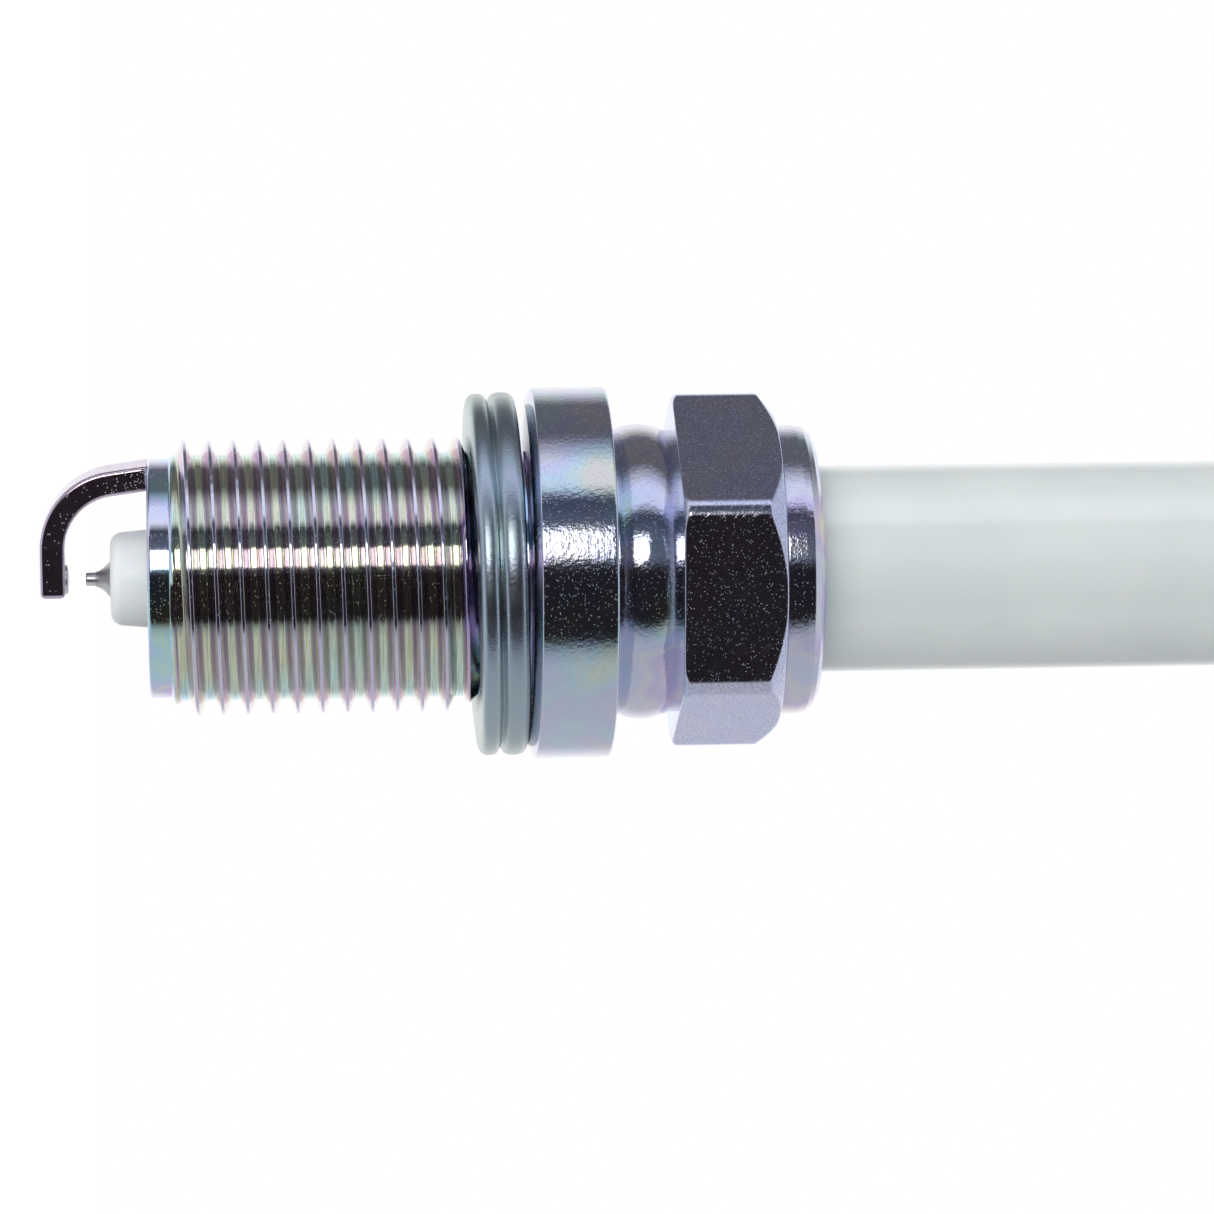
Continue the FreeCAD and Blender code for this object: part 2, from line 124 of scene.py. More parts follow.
# Insulator and electrodes
head_r = 5.25
bare_head_r = 5.2
shoulder_base_z = 5.2
shoulder_top_z = 10.6
shoulder_gap = 0.2              # from the shoulder down to the floor of the shell's cavity
packing_height = 0.3            # soft washer between the ceramic and the shell's seat
rib_count = 4
rib_pitch = 1.45
rib_start = 1.5                 # from the top of the ceramic to the middle of the first groove
groove_depth = 0.4
body_r = 4.65
nose_root_r = 3.3
nose_tip_r = 2.3
nose_edge = 0.62
rod_bore_r = 1.0
core_bore_r = 2.0
core_bore_base_z = -5.0
rod_r = 0.95
taper_r = 0.38
taper_end_z = insulator_low.z - 0.75
strap_thickness = 1.25
strap_lean = math.radians(8)
strap_bend = 2.75
strap_corner = 0.2
strap_end_round = 0.26

# Gasket
gasket_in_r = 6.75
gasket_out_r = 9.2
gasket_top_z = -0.03
gasket_thickness = 2.45
gasket_lean = math.radians(1.4)

# Turned outlines without a bore stop this close to the axis
near_axis = 0.02


# ---------------------------------------------------------------- outlines and meshes

def arc(centre, radius, start_deg, end_deg, steps):
    """Corners along an arc, to be used as they are in an outline."""
    return [
        (centre[0] + radius * math.cos(a), centre[1] + radius * math.sin(a), 0)
        for a in np.radians(np.linspace(start_deg, end_deg, steps + 1))
    ]


def bent_corner(before, here, after, bend, steps):
    """Points of the round that replaces one corner, its radius cut down where the sides are short."""
    most_of_half = 0.48
    nearly_straight = math.radians(89)
    to_before = before - here
    to_after = after - here
    room = most_of_half * min(to_before.length, to_after.length)
    to_before.normalize()
    to_after.normalize()
    half = to_before.angle(to_after) / 2
    if half > nearly_straight:
        return [here]
    reach = min(bend / math.tan(half), room)
    radius = reach * math.tan(half)
    middle = (to_before + to_after).normalized()
    centre = here + middle * (radius / math.sin(half))
    first = here + to_before * reach - centre
    sweep = math.pi - 2 * half
    turn = math.copysign(1, first.cross(here + to_after * reach - centre))
    spin = [Matrix.Rotation(turn * sweep * i / steps, 2) for i in range(steps + 1)]
    return [centre + rotation @ first for rotation in spin]


def soften(corners, closed=True, steps=6, hold=0.05):
    """Outline of (x, z, bend) corners with rounded bends, and points that hold the flats flat."""
    least_side = 6 * hold
    spots = [Vector(corner[:2]) for corner in corners]
    bends = [corner[2] for corner in corners]
    count = len(spots)
    rounded = []
    for i, here in enumerate(spots):
        at_end = not closed and i in (0, count - 1)
        if at_end or bends[i] == 0:
            rounded.append(here)
        else:
            rounded += bent_corner(spots[i - 1], here, spots[(i + 1) % count], bends[i], steps)
    held = []
    last = len(rounded) if closed else len(rounded) - 1
    for i, here in enumerate(rounded):
        held.append(here)
        if i < last:
            step = rounded[(i + 1) % len(rounded)] - here
            if step.length > least_side:
                step_in = step.normalized() * hold
                held += [here + step_in, here + step - step_in]
    return np.array([tuple(spot) for spot in held])


def turned_grid(outline, columns):
    """An outline of (radius, z) turned about the axis: rows by columns by xyz."""
    angle = np.linspace(0, TAU, columns, endpoint=False)
    radius, z = outline[:, 0], outline[:, 1]
    x = np.outer(radius, np.cos(angle))
    y = np.outer(radius, np.sin(angle))
    return np.stack([x, y, np.outer(z, np.ones(columns))], axis=2)


def mesh_of_grid(name, grid, closed, next_row=None):
    """Mesh of a grid whose columns wrap round, in metres.

    A closed grid also wraps from its last row to its first; an open one gets a cap at each end.
    next_row says which row each row meets after one trip round.
    """
    same_spot = 1e-8
    no_length = 1e-9
    rows, columns = grid.shape[:2]
    if next_row is None:
        next_row = np.arange(rows)
    index = np.arange(rows * columns).reshape(rows, columns)
    right = np.roll(index, -1, axis=1)
    right[:, -1] = index[next_row, 0]
    low = np.arange(rows if closed else rows - 1)
    high = (low + 1) % rows
    quads = np.stack([index[low], right[low], right[high], index[high]], axis=2).reshape(-1, 4)
    bm = bmesh.new()
    spots = [bm.verts.new(p) for p in (grid.reshape(-1, 3) * MM).tolist()]
    for quad in quads.tolist():
        corners = [spots[i] for i in dict.fromkeys(quad)]
        if len(corners) > 2:
            bm.faces.new(corners)
    if not closed:
        for row in (0, rows - 1):
            bm.faces.new([spots[i] for i in index[row]])
    bmesh.ops.remove_doubles(bm, verts=bm.verts, dist=same_spot)
    bmesh.ops.dissolve_degenerate(bm, dist=no_length, edges=bm.edges)
    bmesh.ops.recalc_face_normals(bm, faces=bm.faces)
    for face in bm.faces:
        face.smooth = True
    mesh = bpy.data.meshes.new(name)
    bm.to_mesh(mesh)
    bm.free()
    return mesh


def make_piece(name, mesh, body, nodes, material):
    """Object of a mesh that rides on a body and stands for CAD nodes."""
    piece = bpy.data.objects.new(name, mesh)
    bpy.context.scene.collection.objects.link(piece)
    mesh.materials.append(material)
    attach(piece, body)
    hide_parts(*nodes)


def rough_noise(angle, z, seed, waves):
    """Smooth pseudo-random values, mostly from -1 to 1, over angle and height; the same on each run."""
    draw = np.random.default_rng(seed)
    total = np.zeros(np.broadcast(angle, z).shape)
    for _ in range(waves):
        around = draw.integers(6, 80)
        along = draw.uniform(0.3, 7)
        phase = draw.uniform(0, TAU)
        total += np.sin(around * angle + along * z + phase)
    return total / math.sqrt(waves)


# ---------------------------------------------------------------- shell

def thread_outline(crest_r, root_r, pitch, crest_width, root_width):
    """One pitch of the thread as (offset, radius), from the middle of one crest to the next."""
    crest_bend = 0.035
    root_bend = 0.16
    half = pitch / 2
    return soften([
        (-half, crest_r, 0),
        (-half + crest_width / 2, crest_r, crest_bend),
        (-root_width / 2, root_r, root_bend),
        (root_width / 2, root_r, root_bend),
        (half - crest_width / 2, crest_r, crest_bend),
        (half, crest_r, 0),
    ], closed=False, steps=2, hold=0.03)[:-1]


def threaded_grid(below, above, thread, pitch, phase_z, start_z, stop_z, envelope, columns, nicks):
    """Rows of a turned part with a right-hand helical thread between two turned outlines.

    envelope(z) is the largest radius the thread may have, and nicks(angle, z) the depth of its dents.
    Returns the grid and the row that each row meets after one trip round.
    """
    crest_share = 4             # dents grow over the upper quarter of the thread's depth
    per_turn = len(thread)
    offsets, radii = thread[:, 0], thread[:, 1]
    spare_turns = 3             # rows slant by one pitch, so the first and last start beyond the ends
    turns = math.ceil((stop_z - start_z) / pitch) + spare_turns
    first = math.floor((start_z - phase_z) / pitch) - 1
    base = np.concatenate([phase_z + (first + k) * pitch + offsets for k in range(turns + 1)])
    angle = np.linspace(0, TAU, columns, endpoint=False)
    z = np.clip(base[:, None] + pitch * angle[None, :] / TAU, start_z, stop_z)
    offset = (z - pitch * angle[None, :] / TAU - phase_z + pitch / 2) % pitch - pitch / 2
    wrapped_offsets = np.append(offsets, pitch / 2)
    wrapped_radii = np.append(radii, radii[0])
    radius = np.interp(offset, wrapped_offsets, wrapped_radii)
    crest = np.clip((radius - radii.min()) / np.ptp(radii) * crest_share - (crest_share - 1), 0, 1)
    radius = radius - crest * nicks(angle[None, :], z)
    radius = np.minimum(radius, envelope(z))
    helix = np.stack([radius * np.cos(angle), radius * np.sin(angle), z], axis=2)
    low = turned_grid(below, columns)
    high = turned_grid(above, columns)
    grid = np.concatenate([low, helix, high])
    next_row = np.arange(len(grid))
    last_helix = len(low) + len(base) - 1
    helix_rows = np.arange(len(low), last_helix + 1)
    next_row[helix_rows] = np.minimum(helix_rows + per_turn, last_helix)
    return grid, next_row


def shell_nicks(angle, z):
    """Small dents along the rolled crests, deepest near the firing end."""
    nick_depth = 0.012
    upper_share = 0.35
    worn_from_z = -13.5
    worn_over = 3
    fine = rough_noise(angle, z, seed=11, waves=14)
    fade = upper_share + (1 - upper_share) * np.clip((worn_from_z - z) / worn_over, 0, 1)
    return nick_depth * fade * np.clip(fine, 0, 2) ** 1.5


def shell_envelope(z):
    """Largest radius of the threaded stretch, with its run-in cone and the cone under the neck."""
    start = end_z + pilot_length
    run_in = pilot_r + (thread_r - pilot_r) * (z - start) / thread_run_in
    run_out = neck_r + (-neck_length - z)
    return np.minimum(np.minimum(run_in, run_out), thread_r)


def shell_body_mesh():
    """Shell with pilot, thread, neck, seat, collar, barrel, lip and bore, without the hexagon."""
    start_z = end_z + pilot_length
    barrel_low = collar_height + barrel_foot
    barrel_high = hex_base_z - barrel_shoulder
    barrel_half = (barrel_high - barrel_low) / 2
    crown_r = (barrel_half ** 2 + barrel_crown ** 2) / (2 * barrel_crown)
    crown_deg = math.degrees(math.asin(barrel_half / crown_r))
    crown_centre = (barrel_neck_r + barrel_crown - crown_r, (barrel_low + barrel_high) / 2)
    ledge_z = seat_cone_z - (body_bore_r - ledge_r) * seat_slope
    under_ledge_z = ledge_z - ledge_height
    cavity_z = shoulder_base_z - shoulder_gap
    below = soften([
        (firing_bore_r, under_ledge_z - firing_bore_cone, 0.1),
        (firing_bore_r, end_z, 0.12),
        (pilot_r, end_z, 0.2),
        (pilot_r, start_z - thread_gap, 0),
    ], closed=False, steps=4)
    above = soften([
        (neck_r, -neck_length + thread_gap, 0),
        (neck_r, 0, 0.1),
        (seat_face_r, 0, 0.08),
        (collar_r, seat_chamfer, 0.1),
        (collar_r, collar_height, 0.16),
        (barrel_neck_r, collar_height, 0.2),
        *arc(crown_centre, crown_r, -crown_deg, crown_deg, 14),
        (barrel_neck_r, hex_base_z, 0),
        (barrel_neck_r, hex_top_z, 0.05),
        (lip_r, hex_top_z, 0.12),
        (lip_r, lip_top_z, lip_bend),
        (lip_bore_r, lip_top_z, 0.14),
        (lip_bore_r, lip_top_z - lip_wall, 0.05),
        (cavity_r, lip_top_z - lip_wall, 0.3),
        (cavity_r, cavity_z, 0.1),
        (body_bore_r, cavity_z - (cavity_r - body_bore_r), 0.1),
        (body_bore_r, seat_cone_z, 0.1),
        (ledge_r, ledge_z, 0.1),
        (ledge_r, under_ledge_z, 0.1),
    ], closed=False, steps=4)
    thread = thread_outline(
        thread_r, thread_root_r, thread_pitch, thread_crest_width, thread_root_width,
    )
    grid, next_row = threaded_grid(
        below, above, thread, thread_pitch, thread_phase_z, start_z, -neck_length,
        shell_envelope, columns=256, nicks=shell_nicks,
    )
    return mesh_of_grid("shell_body", grid, True, next_row)


def smooth_least(a, b, softness):
    """Smaller of two arrays, with a rounded change from one to the other."""
    return -softness * np.log(np.exp(-a / softness) + np.exp(-b / softness))


def hexagon_mesh():
    """Wrench hexagon with turned corners, turned chamfers and soft edges, as a ring round the shell."""
    columns = 480
    side_rows = 60
    ridge_softness = 0.045
    ring_r = barrel_neck_r - 0.15
    ring_step = 0.2
    angle = np.linspace(0, TAU, columns, endpoint=False)
    from_flat = (angle % (TAU / 6)) - TAU / 12
    flat = hex_flat_r / np.cos(from_flat)
    quarter = np.linspace(0, math.pi / 2, 6)
    low_z = hex_base_z + hex_edge * (1 - np.cos(quarter))
    high_z = hex_top_z - hex_edge * (1 - np.cos(quarter[::-1]))
    side_z = np.linspace(low_z[-1], high_z[0], side_rows)[1:-1]
    z = np.concatenate([low_z, side_z, high_z])
    edge_inset = hex_edge * (1 - np.sin(quarter))
    inset = np.concatenate([edge_inset, np.zeros(len(side_z)), edge_inset[::-1]])
    turned = np.full(len(z), hex_turned_r)
    from_top = np.clip(z - (hex_top_z - hex_top_chamfer), 0, None)
    from_base = np.clip(hex_base_z + hex_bottom_chamfer - z, 0, None)
    turned -= from_top / chamfer_slope + from_base / chamfer_slope
    radius = smooth_least(flat[None, :], turned[:, None], ridge_softness) - inset[:, None]
    inner = np.full((1, columns), ring_r)
    base_face = [inner, inner + ring_step, radius[:1] - hex_edge]
    top_face = [radius[-1:] - hex_edge, inner + ring_step, inner]
    radius = np.concatenate([*base_face, radius, *top_face])
    z = np.concatenate([[hex_base_z] * len(base_face), z, [hex_top_z] * len(top_face)])
    x = radius * np.cos(angle)
    y = radius * np.sin(angle)
    return mesh_of_grid("hexagon", np.stack([x, y, np.outer(z, np.ones(columns))], axis=2), True)


# ---------------------------------------------------------------- other turned pieces

def turned_mesh(name, corners, closed=True, columns=256, steps=6):
    """Mesh of an outline of (radius, z, bend) corners turned about the axis."""
    return mesh_of_grid(name, turned_grid(soften(corners, closed, steps), columns), closed)


def insulator_mesh():
    """Ceramic from the rounded nose up to the ribbed head, with the stepped bore."""
    low = insulator_low.z
    top = insulator_high.z
    seat_z = seat_cone_z + packing_height
    cone_low = seat_z - (body_bore_r - nose_root_r) * seat_slope
    cone_high = seat_z - (body_bore_r - body_r) * seat_slope
    nose_taper = 1.6
    shoulder_slope = 0.75
    groove_mouth = 0.55
    groove_floor = 0.3
    ribs = []
    for i in reversed(range(rib_count)):
        middle = top - rib_start - i * rib_pitch
        ribs += [
            (head_r, middle - groove_mouth, 0.12),
            (head_r - groove_depth, middle - groove_floor, 0.25),
            (head_r - groove_depth, middle + groove_floor, 0.25),
            (head_r, middle + groove_mouth, 0.12),
        ]
    return turned_mesh("insulator", [
        (rod_bore_r, low, 0.06),
        (nose_tip_r, low, nose_edge),
        (nose_root_r, cone_low - nose_taper, 0.3),
        (nose_root_r, cone_low, 0.1),
        (body_r, cone_high, 0.1),
        (body_r, shoulder_base_z - (shoulder_r - body_r), 0.2),
        (shoulder_r, shoulder_base_z, 0.2),
        (shoulder_r, shoulder_top_z, 0.2),
        (bare_head_r, shoulder_top_z + shoulder_slope, 0.2),
        (bare_head_r, lip_top_z - lip_wall, 0.2),
        (head_r, lip_top_z + 0.1, 0.2),
        *ribs,
        (head_r, top, 0.9),
        (core_bore_r, top, 0.1),
        (core_bore_r, core_bore_base_z + 1, 0.1),
        (rod_bore_r, core_bore_base_z, 0.1),
    ], steps=8)


def centre_electrode_mesh():
    """Nickel rod with its hollow taper, from the tip's seat to the head in the glass."""
    top = rod_high.z
    face = insulator_low.z
    hollow = 1.7                # a straight cone would be 1
    flange_r = 1.8
    flange_cone = 0.85
    knob_r = 1.1
    knob_height = 0.8
    taper = [
        (taper_r + (rod_r - taper_r) * share ** hollow, taper_end_z + (face - taper_end_z) * share, 0)
        for share in np.linspace(0.1, 1, 12)
    ]
    return turned_mesh("centre_electrode", [
        (near_axis, taper_end_z, 0),
        (taper_r, taper_end_z, 0.04),
        *taper,
        (rod_r, core_bore_base_z, 0.05),
        (flange_r, core_bore_base_z + flange_cone, 0.05),
        (flange_r, top - knob_height, 0.05),
        (knob_r, top - knob_height, 0.05),
        (knob_r, top, 0.05),
        (near_axis, top, 0),
    ], closed=False, columns=96)


def centre_tip_mesh():
    """Fine welded tip with a rounded rim."""
    r = tip_high.x
    return turned_mesh("centre_tip", [
        (near_axis, tip_low.z, 0),
        (r, tip_low.z, 0.09),
        (r, tip_high.z, 0.03),
        (near_axis, tip_high.z, 0),
    ], closed=False, columns=72)


def pad_mesh():
    """Small domed pad that faces the tip."""
    r = pad_high.x
    dome_height = 0.13
    rim = pad_high.z - dome_height
    dome = [
        (r * math.cos(a), rim + (pad_high.z - rim) * math.sin(a), 0)
        for a in np.linspace(0.15, TAU / 4 - 0.03, 12)
    ]
    foot = [(near_axis, pad_low.z, 0), (r, pad_low.z, 0.03), (r, rim, 0)]
    return turned_mesh("firing_pad", foot + dome, closed=False, columns=96)


def lobe(low, high, out, reach, seam, seam_depth):
    """Rolled lobe between two heights, swelling out to a radius and cut off where the seam is."""
    swell_power = 0.62          # below 1 the lobe is squarer than a round one
    rise_power = 0.8
    middle = (low + high) / 2
    half = (high - low) / 2
    corners = []
    for a in np.radians(np.linspace(-87, 87, 25)):
        swell = math.cos(a) ** swell_power
        rise = math.copysign(abs(math.sin(a)) ** rise_power, a)
        corners.append((out - reach * (1 - swell), middle + half * rise, 0))
    return [(r, z, bend) for r, z, bend in corners if r > out - seam_depth or abs(z - seam) > half]


def gasket_mesh():
    """Folded ring: two rolled lobes that meet in a seam on the rim, leaning on the collar."""
    low = gasket_top_z - gasket_thickness
    top = gasket_top_z
    seam_drop = 0.12
    seam_notch = 0.4
    seam_half = 0.03
    lower_set_back = 0.04
    seam = (low + top) / 2 - seam_drop
    seam_r = gasket_out_r - seam_notch
    inner_bend = 0.45
    wave_height = 0.012
    outline = soften([
        (gasket_in_r, low, inner_bend),
        *lobe(low, seam, gasket_out_r - lower_set_back, reach=0.9, seam=seam, seam_depth=0.2),
        (seam_r, seam - seam_half, 0),
        (seam_r, seam + seam_half, 0),
        *lobe(seam, top, gasket_out_r, reach=0.85, seam=seam, seam_depth=0.16),
        (gasket_in_r, top, inner_bend),
    ], steps=10)
    grid = turned_grid(outline, 360)
    angle = np.arctan2(grid[..., 1], grid[..., 0])
    wave = rough_noise(angle / 6, grid[..., 2] * 0.3, seed=5, waves=6)
    grid[..., 2] += wave_height * wave
    pivot = np.array([seat_face_r, 0, gasket_top_z])
    turn = np.array(Matrix.Rotation(-gasket_lean, 3, "Y"))
    return mesh_of_grid("gasket", (grid - pivot) @ turn.T + pivot, True)


def terminal_nut_mesh():
    """Screw-on terminal with a waist and a chamfered top."""
    r = nut_high.x
    base = nut_low.z
    top = nut_high.z
    bore_r = 2.025
    bore_depth = 7
    waist_r = 2.55
    waist_low = base + 2.6
    waist_high = base + 3.8
    waist_slope = 0.6
    face_r = 2.2
    face_chamfer = 0.9
    return turned_mesh("terminal_nut", [
        (near_axis, base + bore_depth, 0),
        (bore_r, base + bore_depth, 0.1),
        (bore_r, base, 0.12),
        (r, base, 0.12),
        (r, waist_low - waist_slope, 0.15),
        (waist_r, waist_low, 0.15),
        (waist_r, waist_high, 0.15),
        (r, waist_high + waist_slope, 0.15),
        (r, top - face_chamfer, 0.2),
        (face_r, top, 0.15),
        (near_axis, top, 0),
    ], closed=False, columns=192)


def terminal_stud_mesh():
    """Steel stud with its shoulder on the ceramic and the small thread above it."""
    screw_r = 1.975
    root_r = screw_r - 0.42
    relief_r = root_r - 0.05
    pitch = 0.7
    shank_r = 1.4
    guide_r = 1.85
    guide_z = 17.2
    flange_r = 2.7
    flange_z = insulator_high.z + 0.6
    start_z = flange_z + 0.35
    below = soften([
        (near_axis, stud_low.z, 0),
        (shank_r, stud_low.z, 0.1),
        (shank_r, guide_z, 0.05),
        (guide_r, guide_z, 0.05),
        (guide_r, insulator_high.z, 0.02),
        (flange_r, insulator_high.z, 0.05),
        (flange_r, flange_z, 0.12),
        (relief_r, flange_z, 0.05),
        (relief_r, start_z - 0.02, 0),
    ], closed=False, steps=4)
    above = np.array([(screw_r - 0.55, stud_high.z), (near_axis, stud_high.z)])
    thread = thread_outline(screw_r, root_r, pitch, crest_width=0.1, root_width=0.15)

    def envelope(z):
        run_in = relief_r + (z - start_z) * 1.2
        end_chamfer = screw_r - 0.5 + (stud_high.z - z)
        return np.minimum(np.minimum(run_in, end_chamfer), screw_r)

    def no_nicks(angle, z):
        return 0 * (angle + z)

    grid, next_row = threaded_grid(
        below, above, thread, pitch, flange_z, start_z, stud_high.z,
        envelope, columns=128, nicks=no_nicks,
    )
    return mesh_of_grid("terminal_stud", grid, False, next_row)


# ---------------------------------------------------------------- ground electrode

def strap_line():
    """Middle line of the bent bar as rows of x, z and direction, from the weld to the end."""
    half = strap_thickness / 2
    bend = strap_bend + half
    outer_z = strap_low.z
    bend_z = outer_z + half + bend
    root_x = strap_low.x
    face_offset = -root_x * math.cos(strap_lean) - end_z * math.sin(strap_lean)
    outer_bend = bend + half
    bend_x = -(face_offset - outer_bend + bend_z * math.sin(strap_lean)) / math.cos(strap_lean)
    start = math.pi + strap_lean
    rows = []
    straight_end = np.array([bend_x + bend * math.cos(start), bend_z + bend * math.sin(start)])
    down = np.array([math.sin(strap_lean), -math.cos(strap_lean)])
    length = (end_z - straight_end[1]) / -down[1]
    for share in np.linspace(0, 1, 12, endpoint=False):
        spot = straight_end - down * length * (1 - share)
        rows.append((*spot, *down))
    for a in np.linspace(start, 1.5 * math.pi, 40):
        rows.append((bend_x + bend * math.cos(a), bend_z + bend * math.sin(a), -math.sin(a), math.cos(a)))
    for x in np.linspace(bend_x, strap_high.x, 24)[1:]:
        rows.append((x, bend_z - bend, 1, 0))
    return np.array(rows)


def strap_section(inset):
    """Section of the bar as (thickness, width) points with rounded corners."""
    half_t = strap_thickness / 2 - inset
    half_w = strap_high.y - inset
    bend = max(strap_corner - inset * 0.5, 0.05)
    ways = [(-1, -1), (1, -1), (1, 1), (-1, 1)]
    corners = [(t * half_t, w * half_w, bend) for t, w in ways]
    return soften(corners, steps=5, hold=0.04)


def strap_mesh():
    """Bent nickel bar, its free end rounded off in place of the line's last rows."""
    rounded_rows = 3
    weld_gap = 0.02
    line = strap_line()
    sections = [(*row, 0) for row in line[:-rounded_rows]]
    x, z, dx, dz = line[-1]
    for a in np.linspace(0, TAU / 4, 8):
        back = strap_end_round * (1 - math.sin(a))
        inset = strap_end_round * (1 - math.cos(a))
        sections.append((x - back * dx, z - back * dz, dx, dz, inset))
    grid = []
    for x, z, dx, dz, inset in sections:
        grid.append([(x + t * dz, w, z - t * dx) for t, w in strap_section(inset)])
    grid = np.array(grid)
    grid[0, :, 2] = end_z + weld_gap
    return mesh_of_grid("strap", grid, False)


# ---------------------------------------------------------------- shader helpers

class Wiring:
    """Adds nodes to one tree. A socket is given either a plain value or another node's output."""

    def __init__(self, tree):
        self.tree = tree

    def add(self, kind, sockets=None, **settings):
        made = self.tree.nodes.new(kind)
        for key, value in settings.items():
            setattr(made, key, value)
        self.fill(made, sockets or {})
        return made

    def fill(self, made, sockets):
        """Gives a node's inputs their values or links."""
        for key, value in sockets.items():
            if isinstance(value, bpy.types.NodeSocket):
                self.tree.links.new(value, made.inputs[key])
            else:
                made.inputs[key].default_value = value

    def math(self, operation, *values):
        return self.add("ShaderNodeMath", dict(enumerate(values)), operation=operation).outputs[0]

    def raised(self, base, mask, gain):
        """A base value that grows by a gain where a mask is full."""
        return self.math("ADD", base, self.math("MULTIPLY", mask, gain))

    def between(self, factor, first, second):
        return self.add("ShaderNodeMix", {0: factor, 2: first, 3: second}).outputs[0]

    def remap(self, value, low, high, to_low=0.0, to_high=1.0):
        sockets = {"Value": value, "From Min": low, "From Max": high, "To Min": to_low, "To Max": to_high}
        return self.add("ShaderNodeMapRange", sockets, interpolation_type="SMOOTHSTEP").outputs[0]

    def ramp(self, factor, stops):
        made = self.add("ShaderNodeValToRGB", {"Fac": factor})
        elements = made.color_ramp.elements
        for i, (place, colour) in enumerate(stops):
            element = elements[i] if i < 2 else elements.new(place)
            element.position = place
            element.color = (*colour, 1)
        return made.outputs[0]

    def mix(self, factor, first, second, blend="MIX"):
        sockets = {0: factor, 6: first, 7: second}
        return self.add("ShaderNodeMix", sockets, data_type="RGBA", blend_type=blend).outputs[2]

    def noise(self, vector, scale, detail=2.0, rough=0.5):
        sockets = {"Vector": vector, "Scale": scale, "Detail": detail, "Roughness": rough}
        return self.add("ShaderNodeTexNoise", sockets).outputs[0]

    def stretched(self, spot, scale):
        sockets = {0: spot, "Scale": scale}
        return self.add("ShaderNodeVectorMath", sockets, operation="SCALE").outputs[0]

    def dot(self, spot, direction):
        sockets = {0: spot, 1: tuple(direction)}
        return self.add("ShaderNodeVectorMath", sockets, operation="DOT_PRODUCT").outputs["Value"]

    def place(self):
        """The point in millimetres, its height, its distance from the axis and its angle round it."""
        spot = self.stretched(self.add("ShaderNodeTexCoord").outputs["Object"], 1 / MM)
        x, y, z = self.add("ShaderNodeSeparateXYZ", {0: spot}).outputs
        squares = self.math("ADD", self.math("MULTIPLY", x, x), self.math("MULTIPLY", y, y))
        return spot, z, self.math("SQRT", squares), self.math("ARCTAN2", y, x)

    def join(self, x, y, z):
        return self.add("ShaderNodeCombineXYZ", {0: x, 1: y, 2: z}).outputs[0]


def group(name, inputs, outputs):
    """New shader node group; inputs are floats by name, outputs are 'Float' or 'Color' by name."""
    tree = bpy.data.node_groups.new(name, "ShaderNodeTree")
    for label, value in inputs.items():
        socket = tree.interface.new_socket(label, in_out="INPUT", socket_type="NodeSocketFloat")
        socket.default_value = value
    for label, kind in outputs.items():
        tree.interface.new_socket(label, in_out="OUTPUT", socket_type="NodeSocket" + kind)
    wires = Wiring(tree)
    given = wires.add("NodeGroupInput").outputs
    result = wires.add("NodeGroupOutput").inputs
    return wires, given, result


def turning_lines_group():
    """Fine lines left by turning: they run round the axis and fade in and out along their way."""
    per_radian = 2.2
    w, given, result = group("turning_lines", {"Lines per mm": 14.0}, {"Height": "Float"})
    _, z, radius, angle = w.place()
    along = w.math("MULTIPLY", z, given["Lines per mm"])
    out = w.math("MULTIPLY", radius, given["Lines per mm"])
    height = w.noise(w.join(along, out, w.math("MULTIPLY", angle, per_radian)), 1.0, 3.0, 0.65)
    w.tree.links.new(height, result["Height"])
    return w.tree


def grain_group():
    """Orange peel with sparse bright pits, as bright plating shows over rough steel."""
    inputs = {"Grains per mm": 7.0, "Pits per mm": 9.0, "Pit share": 0.1}
    w, given, result = group("plating_grain", inputs, {"Height": "Float", "Pits": "Float"})
    spot = w.place()[0]
    height = w.noise(spot, given["Grains per mm"], 3.0, 0.6)
    sockets = {"Vector": spot, "Scale": given["Pits per mm"], "Randomness": 1.0}
    cells = w.add("ShaderNodeTexVoronoi", sockets)
    chance = w.add("ShaderNodeSeparateColor", {0: cells.outputs["Color"]}).outputs[0]
    chosen = w.math("LESS_THAN", chance, given["Pit share"])
    size = w.remap(cells.outputs["Distance"], 0.34, 0.12)
    w.tree.links.new(height, result["Height"])
    w.tree.links.new(w.math("MULTIPLY", chosen, size), result["Pits"])
    return w.tree


def oxide_film_group():
    """Interference colours of the clear passivation over zinc, which change with the film's depth."""
    inputs = {"Depth": 0.2, "Drift": 0.3, "Patch per mm": 0.25, "Facing": 0.0, "Slant": 0.25}
    w, given, result = group("oxide_film", inputs, {"Color": "Color"})
    spot = w.place()[0]
    patch = w.noise(spot, given["Patch per mm"], 2.0, 0.5)
    drift = w.math("MULTIPLY", w.math("SUBTRACT", patch, 0.5), given["Drift"])
    slant = w.math("MULTIPLY", given["Facing"], given["Slant"])
    depth = w.math("ADD", w.math("ADD", given["Depth"], drift), slant)
    colour = w.ramp(w.math("FRACT", w.math("ADD", depth, 1.0)), [
        (0.0, (0.78, 0.78, 0.82)),
        (0.14, (0.66, 0.70, 0.93)),
        (0.27, (0.56, 0.80, 0.90)),
        (0.38, (0.64, 0.86, 0.78)),
        (0.50, (0.80, 0.84, 0.60)),
        (0.62, (0.88, 0.78, 0.64)),
        (0.74, (0.88, 0.67, 0.82)),
        (0.87, (0.66, 0.56, 0.88)),
        (1.0, (0.78, 0.78, 0.82)),
    ])
    w.tree.links.new(colour, result["Color"])
    return w.tree


